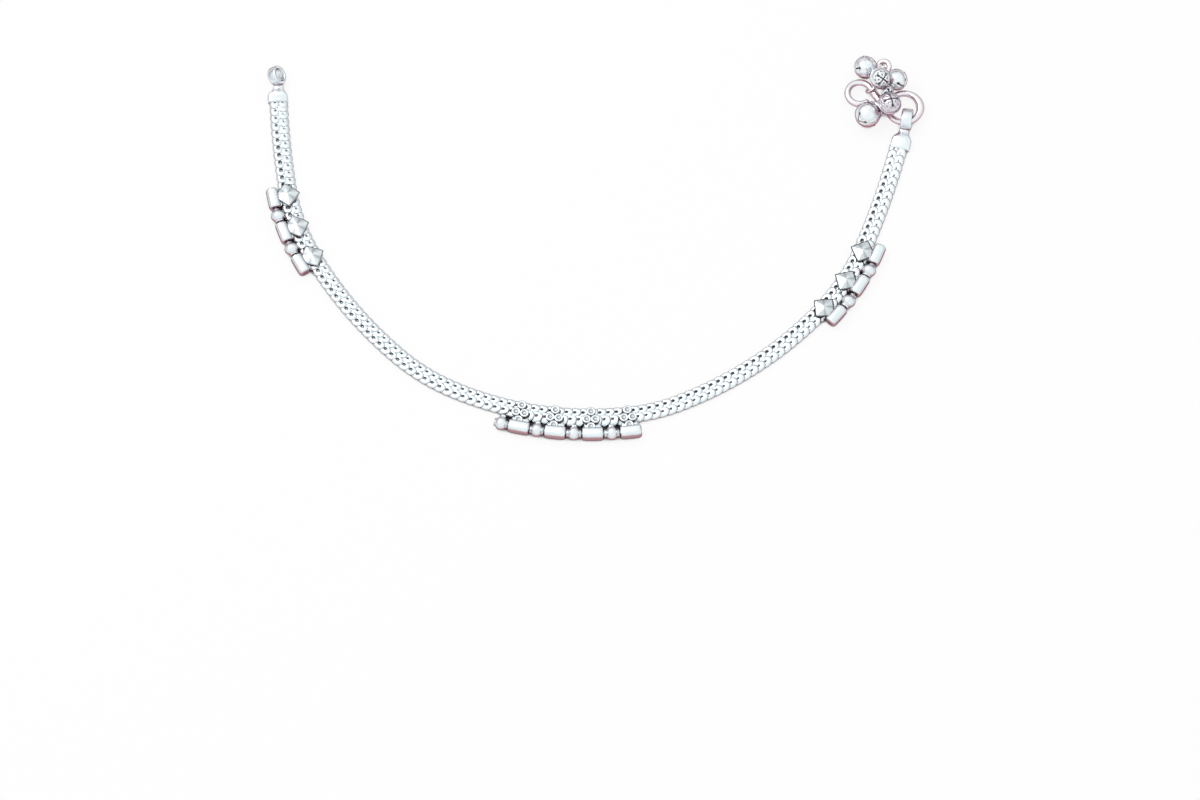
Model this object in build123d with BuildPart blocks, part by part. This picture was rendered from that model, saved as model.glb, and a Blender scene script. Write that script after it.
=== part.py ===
from build123d import *
from math import asin, atan2, cos, degrees, hypot, pi, radians, sin
import os

# Payal anklet laid open in a U on a flat surface.
# Millimetres, +Z up. The origin is on the surface, under the middle of the bounding box.
# The layout is drawn from the foot of the bend, so one shift brings it to the origin.
layout_shift_x = 1.301
layout_shift_y = -44.78

os.makedirs("parts", exist_ok=True)

# ---- woven chain -------------------------------------------------------------------------
chain_start_x = -79.1
chain_start_y = 86.2
chain_start_heading = -87.5

# The chain's middle line, from the left end round to the right end, always turning left.
# (length, turn in degrees)
chain_rows = (
    (24.0, 5.8),
    (19.0, 19.4),
    (36.0, 19.0),
    (16.0, 17.8),
    (46.0, 33.6),
    (11.0, 14.9),
    (43.0, 25.6),
    (21.0, 20.1),
    (29.0, 7.5),
)
chain_length = sum(length for length, turn in chain_rows)
chain_width = 4.5
chain_height = 1.6
chain_groove_height = 1.15
chain_edge_height = 0.45
chain_foot_inset = 0.15
chain_tongue_width = 3.9
chain_tongue_low = 0.4
chain_tongue_high = 1.3
chain_tongue_length = 0.9

# ---- end caps and eyes -------------------------------------------------------------------
cap_width = 4.95
cap_height = 2.1
cap_wall_gap = 0.1
cap_mouth_gap = 0.08
cap_shoulder = 1.1
cap_edge_round = 0.45
cap_pocket_depth = 1.1
cap_pocket_overcut = 0.5
cap_nose_back = 0.3
cap_nose_out = 0.35
cap_nose_in = 0.1
neck_width = 2.3
neck_low = 0.2
neck_height = 1.4
neck_rise = 0.5
neck_seat_distance = 1.8
neck_root_overlap = 0.4
eye_outer_radius = 2.4
eye_inner_radius = 1.6
eye_band_width = 2.35

# ---- beads and tubes beside the chain ----------------------------------------------------
tube_radius = 1.5
tube_bore_radius = 0.45
tube_end_round = 0.35
tube_mark_inset = 0.7
tube_mark_width = 0.16
tube_mark_depth = 0.1
side_tube_length = 5.3
centre_tube_length = 4.8
side_outward = 3.95
centre_outward = 5.1
bead_radius = 1.3
bead_collar_radius = 0.85
bead_end_gap = 0.08
bead_wire_radius = 0.32

# ---- star studs and rosettes soldered to the tubes ---------------------------------------
ornament_low = 1.66
star_half_diagonal = 2.75
star_waist = 1.72
star_plate = 0.3
star_peak = 1.4
star_top_share = 0.06
star_outward = 0.45
boss_radius = 1.16
boss_height = 0.75
boss_dimple_radius = 0.9
boss_dimple_depth = 0.22
boss_side_spacing = 1.05
boss_end_spacing = 2.05
rosette_plate_radius = 1.3
rosette_plate = 0.25
rosette_plate_stretch = 1.6
rosette_outward = 1.3

# Places along the chain, measured on its middle line.
# (name, tube station, star station)
side_places = (
    ("left_star_tube_1", 26.8, 26.45),
    ("left_star_tube_2", 35.85, 35.4),
    ("left_star_tube_3", 45.0, 44.4),
    ("right_star_tube_1", 196.75, 196.35),
    ("right_star_tube_2", 206.2, 205.6),
    ("right_star_tube_3", 215.1, 214.6),
)
# (name, tube station, rosette station)
centre_places = (
    ("rosette_tube_1", 113.35, 112.9),
    ("rosette_tube_2", 121.8, 121.3),
    ("rosette_tube_3", 130.5, 130.1),
    ("rosette_tube_4", 139.3, 139.1),
)
# (name, station, outward, free length between its neighbours)
bead_places = (
    ("left_bead_1", 31.33, side_outward, 4.38),
    ("left_bead_2", 40.4, side_outward, 4.18),
    ("centre_bead_1", 109.2, centre_outward, 4.0),
    ("centre_bead_2", 117.57, centre_outward, 4.2),
    ("centre_bead_3", 126.15, centre_outward, 4.46),
    ("centre_bead_4", 134.9, centre_outward, 4.56),
    ("right_bead_1", 201.45, side_outward, 4.5),
    ("right_bead_2", 210.65, side_outward, 3.9),
)
# (name, first station, last station, outward)
wire_places = (
    ("left_bead_wire", 25.0, 46.8, side_outward),
    ("centre_bead_wire", 107.6, 141.0, centre_outward),
    ("right_bead_wire", 195.0, 216.9, side_outward),
)

# ---- S hook ------------------------------------------------------------------------------
hook_height = 1.76
hook_wire_radius = 0.76
hook_large_x = 74.8
hook_large_y = 83.9
hook_large_radius = 4.0
hook_large_start = 130.0
hook_small_x = 63.9
hook_small_y = 87.95
hook_small_radius = 3.0
hook_small_turn = 286.5

# ---- ghungroo bells and jump rings -------------------------------------------------------
bell_wall = 0.4
bell_seam_lift = 0.05
bell_seam_width = 0.4
bell_slit_width = 0.26
bell_slit_angle = 38.0
bell_hole_radius = 0.38
bell_loop_sink = 0.15
bell_neck_radius = 0.5
bell_neck_overlap = 0.4
bell_hole_stop = 1.0

# (name, middle, direction of the petals, axis of the loop, radius, loop radius, loop wire, neck)
bell_places = (
    ("bell_1", (65.60, 81.16, 3.22), (-0.936, -0.225, 0.272), (-0.194, 0.971, 0.137), 3.2, 1.3, 0.32, 1.1),
    ("bell_2", (64.93, 94.30, 2.76), (-0.975, -0.216, -0.044), (0.211, -0.853, -0.478), 2.7, 0.95, 0.28, 0.0),
    ("bell_3", (73.03, 90.63, 3.75), (0.600, -0.783, 0.167), (0.600, 0.578, 0.554), 2.65, 0.95, 0.28, 0.0),
    ("bell_4", (71.12, 83.31, 5.82), (0.176, -0.002, 0.984), (-0.288, 0.956, 0.053), 2.6, 1.3, 0.32, 0.0),
    ("bell_5", (68.88, 89.43, 6.89), (0.336, -0.510, 0.792), (-0.563, -0.783, -0.265), 2.6, 0.95, 0.28, 0.0),
)
# (name, middle, axis, radius, wire)
ring_places = (
    ("jump_ring_1", (69.80, 94.47, 3.17), (-0.357, -0.277, 0.892), 1.5, 0.37),
    ("jump_ring_2", (67.08, 89.45, 1.88), (-0.607, 0.610, 0.509), 1.75, 0.35),
    ("jump_ring_3", (68.79, 91.93, 2.30), (0.777, -0.411, 0.476), 2.2, 0.35),
)


def chain_state(station):
    """Return x, y and the heading in degrees at a distance along the chain's middle line."""
    x = chain_start_x + layout_shift_x
    y = chain_start_y + layout_shift_y
    heading = radians(chain_start_heading)
    left_over = station
    for length, turn in chain_rows:
        run = min(left_over, length)
        if run <= 0:
            break
        radius = length / radians(turn)
        bend = run / radius
        x += radius * (sin(heading + bend) - sin(heading))
        y -= radius * (cos(heading + bend) - cos(heading))
        heading += bend
        left_over -= run
    return x, y, degrees(heading)


def chain_point(station, outward, height):
    """Return the point at a station, a distance outward from the middle line and a height."""
    x, y, heading = chain_state(station)
    across = radians(heading)
    return Vector(x + outward * sin(across), y - outward * cos(across), height)


def along(station):
    """Return the chain's direction at a station."""
    heading = radians(chain_state(station)[2])
    return Vector(cos(heading), sin(heading), 0)


def upright_plane(station, outward, height):
    """Return a level plane at a place on the chain: x along the chain, y inward."""
    return Plane(origin=chain_point(station, outward, height), x_dir=along(station), z_dir=(0, 0, 1))


def across_plane(station):
    """Return a plane square to the chain at a station: x inward, y up."""
    inward = Vector(-along(station).Y, along(station).X, 0)
    return Plane(origin=chain_point(station, 0, 0), x_dir=inward, z_dir=along(station))


def path_rows(first, last, outward):
    """Return the (radius, turn) of each arc between two stations, shifted outward."""
    rows = []
    begin = 0.0
    for length, turn in chain_rows:
        end = begin + length
        run = min(end, last) - max(begin, first)
        if run > 0:
            rows.append((length / radians(turn) + outward, turn * run / length))
        begin = end
    return rows


def report_sweep(name, part, area, length):
    """Print a swept solid's volume beside its section times its length."""
    print(name, "volume", round(part.volume, 2), "section x length", round(area * length, 2))


def finish(part, name):
    """Name a piece and write its STEP file."""
    part.label = name
    export_step(part, f"parts/{name}.step")
    print(name, "volume", round(part.volume, 3), "solids", len(part.solids()), "valid", part.is_valid)


# ---- woven chain -------------------------------------------------------------------------
with BuildPart() as woven_chain:
    with BuildLine() as chain_path:
        reached = chain_point(0, 0, 0)
        facing = along(0)
        for radius, turn in path_rows(0, chain_length, 0):
            arc = JernArc(start=reached, tangent=facing, radius=radius, arc_size=turn)
            reached = arc @ 1
            facing = arc % 1
    with BuildSketch(across_plane(0)) as chain_section:
        with BuildLine():
            half = chain_width / 2
            foot = half - chain_foot_inset
            Polyline((-half, chain_edge_height), (-foot, 0), (foot, 0), (half, chain_edge_height))
            ThreePointArc((half, chain_edge_height), (half / 2, chain_height), (0, chain_groove_height))
            ThreePointArc((0, chain_groove_height), (-half / 2, chain_height), (-half, chain_edge_height))
        make_face()
    chain_area = chain_section.sketch.area
    sweep(chain_section.sketch, path=chain_path.line)
    report_sweep("woven_chain", woven_chain.part, chain_area, chain_length)
    for station, sign in ((0, -1), (chain_length, 1)):
        with BuildSketch(across_plane(station)) as tongue:
            with Locations((0, (chain_tongue_low + chain_tongue_high) / 2)):
                Rectangle(chain_tongue_width, chain_tongue_high - chain_tongue_low)
        extrude(tongue.sketch, amount=sign * chain_tongue_length)
finish(woven_chain.part, "woven_chain")


def end_cap(name, station, sign, outward, body_length, eye_distance, eye_tilt, eye_turn):
    """Build one end cap with its neck and its eye, soldered into one piece.

    sign is -1 at the chain's start and 1 at its end. eye_tilt raises the eye's bore
    above the level, towards the inside of the U, and eye_turn swings the eye about the
    vertical.
    """
    direction = along(station) * sign
    inward = Vector(-along(station).Y, along(station).X, 0)
    root = chain_point(station, outward, 0)
    tilt = radians(eye_tilt)
    eye_height = eye_outer_radius * cos(tilt) + eye_band_width / 2 * sin(tilt)
    eye_centre = root + direction * eye_distance + Vector(0, 0, eye_height)
    level_axis = inward.rotate(Axis.Z, eye_turn)
    bore_axis = level_axis * cos(tilt) + Vector(0, 0, 1) * sin(tilt)
    half_width = cap_width / 2
    half_neck = neck_width / 2
    straight = body_length - cap_shoulder
    nose = body_length - cap_nose_back
    neck_root = body_length - neck_root_overlap
    neck_end = eye_distance - neck_seat_distance
    sideways = direction.cross(Vector(0, 0, 1))
    with BuildPart() as cap:
        with BuildSketch(Plane(origin=root, x_dir=direction, z_dir=(0, 0, 1))) as outline:
            with BuildLine():
                Polyline(
                    (cap_mouth_gap, -half_width),
                    (straight, -half_width),
                    (nose, -half_neck - cap_nose_out),
                    (body_length, -half_neck + cap_nose_in),
                    (body_length, half_neck - cap_nose_in),
                    (nose, half_neck + cap_nose_out),
                    (straight, half_width),
                    (cap_mouth_gap, half_width),
                    close=True,
                )
            make_face()
        extrude(outline.sketch, amount=cap_height)
        rim = cap.edges().group_by(Axis.Z)[-1]
        chamfer(rim, cap_edge_round)
        with BuildSketch(Plane(origin=root, x_dir=direction, z_dir=sideways)) as neck:
            with BuildLine():
                Polyline(
                    (neck_root, neck_low),
                    (neck_end, neck_low + neck_rise),
                    (neck_end, neck_low + neck_rise + neck_height),
                    (neck_root, neck_low + neck_height),
                    close=True,
                )
            make_face()
        extrude(neck.sketch, amount=neck_width / 2, both=True)
        eye_side = eye_centre - bore_axis * (eye_band_width / 2)
        with BuildSketch(Plane(origin=eye_side, x_dir=direction, z_dir=bore_axis)) as eye:
            Circle(eye_outer_radius)
            Circle(eye_inner_radius, mode=Mode.SUBTRACT)
        extrude(eye.sketch, amount=eye_band_width)
        pocket_width = chain_tongue_width + 2 * cap_wall_gap
        pocket_height = chain_tongue_high - chain_tongue_low + 2 * cap_wall_gap
        pocket_middle = (chain_tongue_high + chain_tongue_low) / 2
        pocket_root = chain_point(station, 0, pocket_middle) - direction * cap_pocket_overcut
        with BuildSketch(Plane(origin=pocket_root, x_dir=inward, z_dir=direction)) as pocket:
            Rectangle(pocket_width, pocket_height)
        extrude(pocket.sketch, amount=cap_pocket_depth + cap_pocket_overcut, mode=Mode.SUBTRACT)
    print(name, "eye centre", eye_centre, "bore axis", bore_axis)
    return cap.part


finish(end_cap("left_end_cap", 0, -1, 0.2, 2.75, 6.17, 40.0, 0.0), "left_end_cap")
finish(end_cap("right_end_cap", chain_length, 1, 0.3, 3.6, 7.12, 0.0, 6.8), "right_end_cap")


def add_tube(station, outward, length):
    """Add a drilled tube with rounded ends, lying along the chain, to the part being built."""
    axis_start = chain_point(station, outward, tube_radius)
    level = upright_plane(station, outward, tube_radius)
    half = length / 2
    mark = half - tube_mark_inset
    low = tube_radius - tube_mark_depth
    with BuildSketch(level) as tube_profile:
        with BuildLine():
            Polyline(
                (-half, tube_bore_radius),
                (-half, tube_radius - tube_end_round),
                (-half + tube_end_round, tube_radius),
                (-mark - tube_mark_width, tube_radius),
                (-mark, low),
                (-mark + tube_mark_width, tube_radius),
                (mark - tube_mark_width, tube_radius),
                (mark, low),
                (mark + tube_mark_width, tube_radius),
                (half - tube_end_round, tube_radius),
                (half, tube_radius - tube_end_round),
                (half, tube_bore_radius),
                close=True,
            )
        make_face()
    revolve(tube_profile.sketch, axis=Axis(axis_start, along(station)))


def clear_bore(station, outward, length):
    """Cut the wire's bore again, through whatever was soldered to the tube."""
    start = chain_point(station, outward, tube_radius) - along(station) * length
    with BuildSketch(Plane(origin=start, z_dir=along(station))) as bore:
        Circle(tube_bore_radius)
    extrude(bore.sketch, amount=2 * length, mode=Mode.SUBTRACT)


# ---- star studs on the two sides ---------------------------------------------------------
for name, tube_station, star_station in side_places:
    with BuildPart() as star_tube:
        add_tube(tube_station, side_outward, side_tube_length)
        with BuildSketch(upright_plane(star_station, star_outward, ornament_low)) as star_base:
            with BuildLine():
                Polyline(
                    (star_half_diagonal, 0),
                    (star_waist * cos(pi / 4), star_waist * sin(pi / 4)),
                    (0, star_half_diagonal),
                    (-star_waist * cos(pi / 4), star_waist * sin(pi / 4)),
                    (-star_half_diagonal, 0),
                    (-star_waist * cos(pi / 4), -star_waist * sin(pi / 4)),
                    (0, -star_half_diagonal),
                    (star_waist * cos(pi / 4), -star_waist * sin(pi / 4)),
                    close=True,
                )
            make_face()
        extrude(star_base.sketch, amount=star_plate)
        lower = star_base.sketch.moved(Location((0, 0, star_plate)))
        peak = upright_plane(star_station, star_outward, ornament_low + star_peak)
        with BuildSketch(peak) as star_tip:
            with BuildLine():
                tip_long = star_half_diagonal * star_top_share
                tip_short = star_waist * star_top_share * cos(pi / 4)
                Polyline(
                    (tip_long, 0),
                    (tip_short, tip_short),
                    (0, tip_long),
                    (-tip_short, tip_short),
                    (-tip_long, 0),
                    (-tip_short, -tip_short),
                    (0, -tip_long),
                    (tip_short, -tip_short),
                    close=True,
                )
            make_face()
        loft(sections=(lower, star_tip.sketch), ruled=True)
        clear_bore(tube_station, side_outward, side_tube_length)
    finish(star_tube.part, name)

# ---- rosettes in the centre --------------------------------------------------------------
boss_spots = (
    (boss_side_spacing, 0),
    (-boss_side_spacing, 0),
    (0, boss_end_spacing),
    (0, -boss_end_spacing),
)
for name, tube_station, rosette_station in centre_places:
    with BuildPart() as rosette_tube:
        add_tube(tube_station, centre_outward, centre_tube_length)
        with BuildSketch(upright_plane(rosette_station, rosette_outward, ornament_low)) as plate:
            Ellipse(rosette_plate_radius, rosette_plate_radius * rosette_plate_stretch)
        extrude(plate.sketch, amount=rosette_plate)
        with BuildSketch(upright_plane(rosette_station, rosette_outward, ornament_low)) as bosses:
            with Locations(*boss_spots):
                Circle(boss_radius)
        extrude(bosses.sketch, amount=boss_height)
        dimple_ball = (boss_dimple_radius**2 + boss_dimple_depth**2) / (2 * boss_dimple_depth)
        dimple_lift = ornament_low + boss_height + dimple_ball - boss_dimple_depth
        with Locations(upright_plane(rosette_station, rosette_outward, dimple_lift)):
            with Locations(*boss_spots):
                Sphere(dimple_ball, mode=Mode.SUBTRACT)
        clear_bore(tube_station, centre_outward, centre_tube_length)
    finish(rosette_tube.part, name)

# ---- round beads -------------------------------------------------------------------------
for name, station, outward, free_length in bead_places:
    half = free_length / 2 - bead_end_gap
    ball_half = (bead_radius**2 - bead_collar_radius**2) ** 0.5
    with BuildPart() as bead:
        with BuildSketch(upright_plane(station, outward, tube_radius)) as bead_profile:
            with BuildLine():
                Polyline(
                    (-ball_half, bead_collar_radius),
                    (-half, bead_collar_radius),
                    (-half, tube_bore_radius),
                    (half, tube_bore_radius),
                    (half, bead_collar_radius),
                    (ball_half, bead_collar_radius),
                )
                ThreePointArc(
                    (ball_half, bead_collar_radius),
                    (0, bead_radius),
                    (-ball_half, bead_collar_radius),
                )
            make_face()
        bead_middle = chain_point(station, outward, tube_radius)
        revolve(bead_profile.sketch, axis=Axis(bead_middle, along(station)))
    finish(bead.part, name)

# ---- wires through the beads and tubes ---------------------------------------------------
for name, first, last, outward in wire_places:
    with BuildPart() as bead_wire:
        wire_length = 0.0
        with BuildLine() as wire_path:
            reached = chain_point(first, outward, tube_radius)
            facing = along(first)
            for radius, turn in path_rows(first, last, outward):
                arc = JernArc(start=reached, tangent=facing, radius=radius, arc_size=turn)
                reached = arc @ 1
                facing = arc % 1
                wire_length += radius * radians(turn)
        wire_start = chain_point(first, outward, tube_radius)
        with BuildSketch(Plane(origin=wire_start, z_dir=along(first))) as wire_section:
            Circle(bead_wire_radius)
        sweep(wire_section.sketch, path=wire_path.line)
    report_sweep(name, bead_wire.part, pi * bead_wire_radius**2, wire_length)
    finish(bead_wire.part, name)

# ---- S hook ------------------------------------------------------------------------------
centre_gap = hypot(hook_small_x - hook_large_x, hook_small_y - hook_large_y)
centre_angle = atan2(hook_small_y - hook_large_y, hook_small_x - hook_large_x)
shank_heading = degrees(centre_angle - asin((hook_large_radius + hook_small_radius) / centre_gap))
shank_length = (centre_gap**2 - (hook_large_radius + hook_small_radius) ** 2) ** 0.5
hook_large_turn = hook_large_start - (shank_heading + 90 - 360)
hook_start = Vector(
    hook_large_x + layout_shift_x + hook_large_radius * cos(radians(hook_large_start)),
    hook_large_y + layout_shift_y + hook_large_radius * sin(radians(hook_large_start)),
    hook_height,
)
hook_facing = Vector(sin(radians(hook_large_start)), -cos(radians(hook_large_start)), 0)
with BuildPart() as s_hook:
    with BuildLine() as hook_path:
        large_loop = JernArc(hook_start, hook_facing, hook_large_radius, -hook_large_turn)
        shank = Line(large_loop @ 1, large_loop @ 1 + (large_loop % 1) * shank_length)
        JernArc(shank @ 1, shank % 1, hook_small_radius, hook_small_turn)
    with BuildSketch(Plane(origin=hook_start, z_dir=hook_facing)) as hook_section:
        Circle(hook_wire_radius)
    sweep(hook_section.sketch, path=hook_path.line)
    large_length = hook_large_radius * radians(hook_large_turn)
    small_length = hook_small_radius * radians(hook_small_turn)
    hook_length = large_length + shank_length + small_length
    report_sweep("s_hook", s_hook.part, pi * hook_wire_radius**2, hook_length)
finish(s_hook.part, "s_hook")

# ---- bells and jump rings ----------------------------------------------------------------
layout_shift = Vector(layout_shift_x, layout_shift_y, 0)
for name, middle, petal_way, loop_axis, radius, loop_radius, loop_wire, neck in bell_places:
    inner = radius - bell_wall
    slit_foot = radius * cos(radians(bell_slit_angle))
    loop_drop = radius + neck + loop_radius + loop_wire - bell_loop_sink
    bell_plane = Plane(origin=Vector(*middle) + layout_shift, x_dir=loop_axis, z_dir=petal_way)
    with BuildPart(bell_plane) as bell:
        Sphere(radius)
        Cylinder(radius + bell_seam_lift, bell_seam_width)
        with Locations((0, 0, -loop_drop)):
            Torus(loop_radius, loop_wire, rotation=(0, 90, 0))
        if neck > 0:
            with Locations((0, 0, -radius - neck / 2)):
                Cylinder(bell_neck_radius, neck + bell_neck_overlap)
        Sphere(inner, mode=Mode.SUBTRACT)
        with Locations((0, 0, slit_foot + radius / 2)):
            Box(2 * radius, bell_slit_width, radius, mode=Mode.SUBTRACT)
            Box(bell_slit_width, 2 * radius, radius, mode=Mode.SUBTRACT)
        hole_reach = radius * sin(radians(bell_slit_angle))
        with Locations((0, 0, radius)):
            with PolarLocations(hole_reach, 4):
                Cylinder(bell_hole_radius, 2 * radius - bell_hole_stop, mode=Mode.SUBTRACT)
    finish(bell.part, name)

for name, middle, axis, radius, wire in ring_places:
    with BuildPart(Plane(origin=Vector(*middle) + layout_shift, z_dir=axis)) as jump_ring:
        Torus(radius, wire)
    finish(jump_ring.part, name)
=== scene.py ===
"""Dresses the open payal anklet: woven chain, caps, hook, bells, stars, rosettes and beads."""

import logging
from dataclasses import dataclass, field
from enum import Enum
from typing import Protocol

import bpy
import numpy as np
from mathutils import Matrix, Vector

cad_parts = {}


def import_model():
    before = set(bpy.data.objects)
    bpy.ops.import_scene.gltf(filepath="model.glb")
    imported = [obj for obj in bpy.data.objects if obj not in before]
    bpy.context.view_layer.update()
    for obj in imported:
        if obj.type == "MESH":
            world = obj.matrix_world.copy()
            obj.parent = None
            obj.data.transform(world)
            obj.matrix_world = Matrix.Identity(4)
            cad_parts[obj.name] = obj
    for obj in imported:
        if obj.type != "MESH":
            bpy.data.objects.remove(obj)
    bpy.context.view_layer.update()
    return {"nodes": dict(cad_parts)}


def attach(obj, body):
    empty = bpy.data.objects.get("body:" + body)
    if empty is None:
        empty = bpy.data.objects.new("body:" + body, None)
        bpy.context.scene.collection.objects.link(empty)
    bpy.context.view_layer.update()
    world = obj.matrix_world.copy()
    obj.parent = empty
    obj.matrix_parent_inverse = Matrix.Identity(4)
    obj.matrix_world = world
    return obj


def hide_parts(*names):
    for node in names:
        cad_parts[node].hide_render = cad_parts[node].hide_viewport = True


LOG = logging.getLogger("payal")
MM = 0.001
UP = np.array([0.0, 0.0, 1.0])
Array = np.ndarray
Triple = tuple[float, float, float]
Axes = tuple[Array, Array, Array]
Tree = bpy.types.NodeTree
Socket = bpy.types.NodeSocket


# ---- surfaces ----------------------------------------------------------------------------
def unit(vectors: Array) -> Array:
    """Divide each vector by its own length."""
    return vectors / np.linalg.norm(vectors, axis=-1, keepdims=True)


def signed_power(values: Array, power: float | Array) -> Array:
    """Raise the size of each value to a power and keep its sign, as a superellipse needs."""
    return np.sign(values) * np.abs(values) ** power


def smooth_step(low: float, high: float, values: Array) -> Array:
    """Rise from 0 at low to 1 at high along the curve 3t squared minus 2t cubed."""
    t = np.clip((values - low) / (high - low), 0.0, 1.0)
    return t * t * (3.0 - 2.0 * t)


@dataclass
class Surface:
    """Points on a grid of two parameters, gathered into one mesh."""

    points: list[Array] = field(default_factory=list)
    quads: list[Array] = field(default_factory=list)
    triangles: list[Array] = field(default_factory=list)
    recess: list[Array] = field(default_factory=list)
    count: int = 0

    def add_grid(
        self, grid: Array, recess: Array | None = None, close_rows: bool = False, cap_ends: bool = False
    ) -> None:
        """Add a tube-like grid: rows run along it, columns run round it and always close.

        Args:
            grid: rows by columns by 3 points in millimetres, or a stack of such grids.
            recess: for each point, 1 where the dark tone is full and 0 where metal is bright; the dark tone
                is tarnish on some pieces and painted shade on others.
            close_rows: join the last row to the first, as a ring needs.
            cap_ends: close both ends of a single grid with a fan to the middle of their row.
        """
        mask = np.zeros(grid.shape[:-1]) if recess is None else recess
        index = np.arange(mask.size).reshape(mask.shape) + self.count
        upper = np.roll(index, -1, axis=-2) if close_rows else index[..., 1:, :]
        lower = index if close_rows else index[..., :-1, :]
        quads = np.stack([lower, np.roll(lower, -1, axis=-1), np.roll(upper, -1, axis=-1), upper], axis=-1)
        self.quads.append(quads.reshape(-1, 4))
        self.points.append(grid.reshape(-1, 3))
        self.recess.append(mask.reshape(-1))
        self.count += mask.size
        if cap_ends:
            for row, turn in ((0, 1), (-1, -1)):
                ring = index[row][::turn]
                centre = np.full(len(ring), self.count)
                self.triangles.append(np.stack([centre, np.roll(ring, -1), ring], axis=-1))
                self.points.append(grid[row].mean(axis=0, keepdims=True))
                self.recess.append(mask[row].mean(keepdims=True))
                self.count += 1

    def to_object(self, name: str) -> bpy.types.Object:
        """Put everything that was added into one smooth mesh object at the origin.

        Args:
            name: the piece's plain name.

        Returns:
            The linked object, its points in metres.
        """
        points = np.concatenate(self.points) * MM
        quads = np.concatenate(self.quads)
        triangles = np.concatenate(self.triangles) if self.triangles else np.zeros((0, 3), int)
        indices = np.concatenate([quads.reshape(-1), triangles.reshape(-1)])
        starts = np.concatenate([np.arange(len(quads)) * 4, quads.size + np.arange(len(triangles)) * 3])
        mesh = bpy.data.meshes.new(name)
        mesh.vertices.add(len(points))
        mesh.vertices.foreach_set("co", points.reshape(-1).astype(np.float32))
        mesh.loops.add(len(indices))
        mesh.loops.foreach_set("vertex_index", indices.astype(np.int32))
        mesh.polygons.add(len(starts))
        mesh.polygons.foreach_set("loop_start", starts.astype(np.int32))
        mesh.polygons.foreach_set("use_smooth", np.full(len(starts), True))
        mask = mesh.attributes.new("recess", "FLOAT", "POINT")
        mask.data.foreach_set("value", np.concatenate(self.recess).astype(np.float32))
        mesh.update(calc_edges=True)
        mesh.validate()
        piece = bpy.data.objects.new(name, mesh)
        bpy.context.scene.collection.objects.link(piece)
        return piece


def turned_grid(
    middle: Array, axis: Array, start: Array, profile: Array, columns: int, power: float = 2.0
) -> Array:
    """Turn a profile round an axis.

    The point is the middle plus the axis times the profile's distance plus its radius times
    the turning direction. The radius is divided by the power-norm of the turning direction's
    cosine and sine, so a power above 2 gives a section with rounded corners.

    Args:
        middle: the point on the axis where distances are 0, in millimetres.
        axis: unit vector along the axis.
        start: unit vector square to the axis, where the turning begins.
        profile: rows that begin with distance along the axis and radius.
        columns: points round the axis.
        power: 2 for a round section.

    Returns:
        The grid of points, one row for each profile row.
    """
    angle = np.linspace(0.0, 2.0 * np.pi, columns, endpoint=False)[None, :, None]
    spoke = start * np.cos(angle) + np.cross(axis, start) * np.sin(angle)
    spoke = spoke / (np.abs(np.cos(angle)) ** power + np.abs(np.sin(angle)) ** power) ** (1.0 / power)
    return middle + axis * profile[:, None, 0:1] + spoke * profile[:, None, 1:2]


def turned_table(
    middle: Array, axis: Array, start: Array, table: Array, columns: int, power: float = 2.0
) -> tuple[Array, Array]:
    """Turn rows of distance, radius and oxide, as turned_grid does, into a grid and its mask."""
    mask = np.repeat(table[:, 2:3], columns, axis=1)
    return turned_grid(middle, axis, start, table, columns, power), mask


def ring_grid(
    middle: Array, axis: Array, radius: float, wire: float, columns: int = 40, sides: int = 12
) -> Array:
    """Turn a round wire into a ring about an axis.

    Args:
        middle: the ring's middle, in millimetres.
        axis: the ring's axis, of any length.
        radius: from the middle to the wire's middle.
        wire: the wire's radius.
        columns: points round the ring.
        sides: points round the wire.

    Returns:
        The grid; its rows close on each other.
    """
    axis = unit(axis)
    helper = np.array([1.0, 0.0, 0.0]) if abs(axis[0]) < 0.8 else np.array([0.0, 1.0, 0.0])
    turn = np.linspace(0.0, 2.0 * np.pi, sides, endpoint=False)
    profile = np.stack([wire * np.sin(turn), radius + wire * np.cos(turn)], axis=-1)
    return turned_grid(middle, axis, unit(np.cross(axis, helper)), profile, columns)


def tube_grid(
    line: Array,
    side: Array,
    half_width: float | Array,
    half_height: float | Array,
    columns: int,
    power: float,
) -> Array:
    """Carry an upright superellipse along a line.

    Each point is the line's point plus side times half_width times cos to the power, plus the
    upward vector times half_height times sin to the power.

    Args:
        line: points along the middle, in millimetres.
        side: the unit vector across, one for the whole line or one for each point.
        half_width: half the width, again one for all points or one for each.
        half_height: half the height, likewise.
        columns: points round the section.
        power: 1 for an ellipse, below 1 for a squarer section.

    Returns:
        The grid of points, one row for each point of the line.
    """
    angle = np.linspace(0.0, 2.0 * np.pi, columns, endpoint=False)
    each = np.ones(len(line))
    across = np.outer(each * half_width, signed_power(np.cos(angle), power))[..., None]
    rise = np.outer(each * half_height, signed_power(np.sin(angle), power))[..., None]
    return line[:, None] + np.broadcast_to(side, line.shape)[:, None] * across + UP * rise


def solder_leaf(middle: Array, along: Array, side: Array, half_sizes: Triple, rows: int) -> Array:
    """Shape a flat leaf of solder with rounded ends.

    Half its width and half its height shrink with the root of 1 minus t to the fourth, where
    t runs nearly from -1 to 1 along the leaf.

    Args:
        middle: the leaf's middle, in millimetres.
        along: unit vector along it.
        side: unit vector across it.
        half_sizes: half its length, greatest width and greatest height.
        rows: points along it.

    Returns:
        The grid of points.
    """
    half_length, half_width, half_height = half_sizes
    line = middle + along * np.linspace(-half_length, half_length, rows)[:, None]
    swell = np.sqrt(1.0 - np.linspace(-0.97, 0.97, rows) ** 4)
    return tube_grid(line, side, half_width * swell, half_height * swell, 12, 0.7)


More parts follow.
